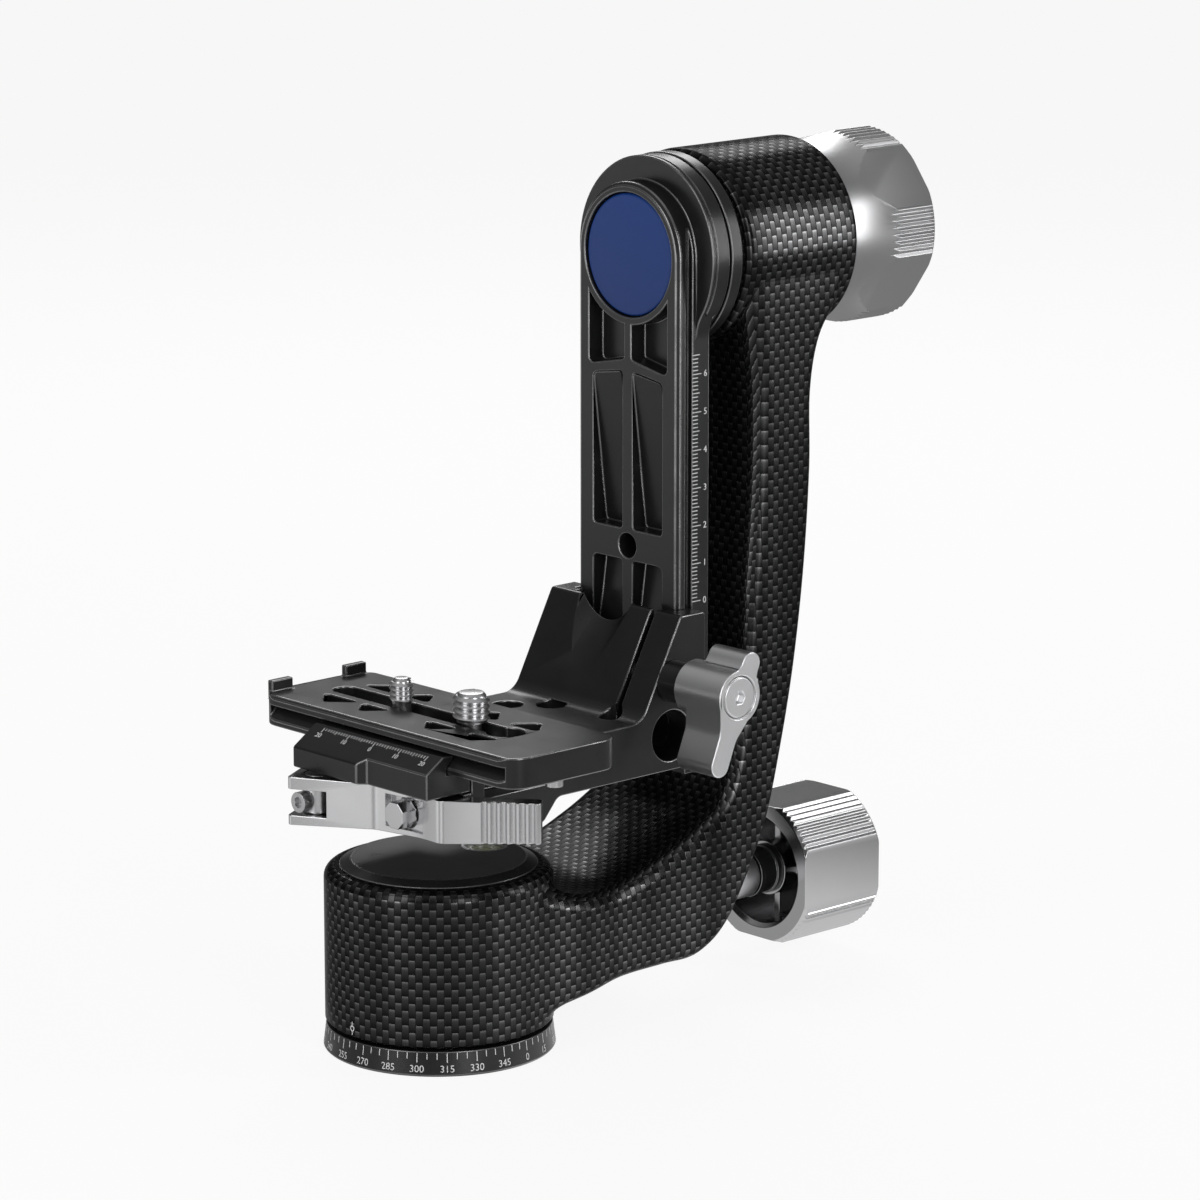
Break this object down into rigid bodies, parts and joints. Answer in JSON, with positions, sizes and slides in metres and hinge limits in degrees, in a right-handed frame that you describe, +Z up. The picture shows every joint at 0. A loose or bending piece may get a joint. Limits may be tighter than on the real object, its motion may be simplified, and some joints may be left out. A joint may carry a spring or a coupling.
{
  "type": "gimbal head",
  "caption": "Cantilever gimbal head: turning dial base, J-shaped carbon arm with tilt hub and lock knobs, swinging rail with height bracket and a quick-release camera plate.",
  "frame": {"origin": "centre of the tripod thread's mouth in the base's underside, on the pan axis", "axes": "+Z up along the pan axis, +X along the tilt axis from the rail towards the tilt knob, Y along the camera plate"},
  "size_m": [0.1884, 0.099, 0.2243],
  "materials": {
    "black_anodised": "fine matte black anodised aluminium",
    "woven_carbon": "clear-coated woven carbon",
    "bright_aluminium": "satin bead-blasted aluminium with turned edges",
    "machined_aluminium": "plain turned aluminium",
    "steel": "turned stainless steel",
    "black_screws": "black oxide",
    "brass": "turned brass",
    "friction_pad": "matte friction lining",
    "blue_enamel": "glossy blue enamel, bare",
    "level_liquid": "yellow-green level liquid",
    "level_glass": "clear polished"
  },
  "bodies": {
    "base": {"base_ring": "black_anodised", "tripod_bush": "steel", "pan_spindle": "machined_aluminium", "base_screws": "black_screws", "spindle_nut": "machined_aluminium"},
    "arm": {"arm_cup": "woven_carbon", "carbon_arm": "woven_carbon", "arm_hub": "woven_carbon", "pan_housing": "machined_aluminium", "pan_bearing_lower": "steel", "pan_bearing_upper": "steel", "top_cap": "black_anodised", "level_cup": "machined_aluminium", "level_fluid": "level_liquid", "level_lens": "level_glass", "tilt_housing": "machined_aluminium", "hub_ring": "black_anodised", "tilt_bearing_front": "steel", "tilt_bearing_rear": "steel", "friction_washer": "friction_pad", "stud_bush": "steel"},
    "pan_lock": {"pan_knob": "bright_aluminium", "pan_stud": "steel", "stud_collar": "black_anodised"},
    "pan_brake": {"brake_rod": "steel", "brake_shoe": "friction_pad"},
    "swing": {"swing_rail": "black_anodised", "badge": "blue_enamel", "tilt_axle": "steel", "axle_bolts": "black_screws", "axle_washer": "steel", "axle_screw": "black_screws", "rail_end_stop": "black_anodised", "rail_end_screws": "black_screws"},
    "tilt_lock": {"tilt_knob": "bright_aluminium", "knob_insert": "brass"},
    "bracket": {"platform_bracket": "black_anodised", "bracket_nut": "steel", "lever_pin": "steel", "tension_screw": "steel", "jaw_pins": "steel"},
    "bracket_lock": {"wing_knob": "bright_aluminium", "wing_bolt": "steel", "wing_washer": "black_anodised"},
    "jaw": {"clamp_jaw": "black_anodised"},
    "lever": {"clamp_lever": "bright_aluminium"},
    "button": {"lock_button": "bright_aluminium"},
    "plate": {"camera_plate": "black_anodised", "plate_stop_screws": "steel"},
    "quarter_screw": {"screw_quarter": "steel"},
    "three_eighth_screw": {"screw_three_eighth": "steel"}
  },
  "joints": [
    {"name": "pan", "type": "hinge", "parent": "base", "child": "arm", "pos_m": [0, 0, 0], "axis": [0, 0, 1], "continuous": true},
    {"name": "tilt", "type": "hinge", "parent": "arm", "child": "swing", "pos_m": [0.07, 0, 0.1983], "axis": [1, 0, 0], "continuous": true},
    {"name": "pan_lock_turn", "type": "hinge", "parent": "arm", "child": "pan_lock", "pos_m": [0.12, 0, 0.0243], "axis": [1, 0, 0], "range_deg": [0, 180]},
    {"name": "pan_brake_slide", "type": "slide", "parent": "arm", "child": "pan_brake", "axis": [1, 0, 0], "range_m": [0, 0.0005]},
    {"name": "tilt_lock_turn", "type": "hinge", "parent": "swing", "child": "tilt_lock", "pos_m": [0.13, 0, 0.1983], "axis": [1, 0, 0], "range_deg": [0, 360]},
    {"name": "height", "type": "slide", "parent": "swing", "child": "bracket", "axis": [0, 0, 1], "range_m": [0, 0.06]},
    {"name": "bracket_lock_turn", "type": "hinge", "parent": "bracket", "child": "bracket_lock", "pos_m": [0.0588, -0.04, 0.0907], "axis": [0, -1, 0], "range_deg": [0, 270]},
    {"name": "lever_swing", "type": "hinge", "parent": "bracket", "child": "lever", "pos_m": [-0.025, 0.0178, 0.066], "axis": [0, 0, 1], "range_deg": [-109, 0]},
    {"name": "jaw_slide", "type": "slide", "parent": "bracket", "child": "jaw", "axis": [1, 0, 0], "range_m": [-0.0024, 0]},
    {"name": "button_press", "type": "slide", "parent": "lever", "child": "button", "axis": [1, 0, 0], "range_m": [0, 0.0015], "stiffness_N_per_m": 300, "springref_m": -0.001},
    {"name": "plate_slide", "type": "slide", "parent": "bracket", "child": "plate", "axis": [0, 1, 0], "range_m": [-0.02, 0.02]},
    {"name": "quarter_turn", "type": "hinge", "parent": "plate", "child": "quarter_screw", "pos_m": [0, 0.014, 0.087], "axis": [0, 0, 1], "continuous": true},
    {"name": "three_eighth_turn", "type": "hinge", "parent": "plate", "child": "three_eighth_screw", "pos_m": [0, -0.013, 0.087], "axis": [0, 0, 1], "continuous": true}
  ],
  "couplings": [
    {"joint": "pan_lock_turn", "follows": "pan_brake_slide", "rad_per_m": 6283},
    {"joint": "lever_swing", "follows": "jaw_slide", "rad_per_m": 792.6}
  ]
}
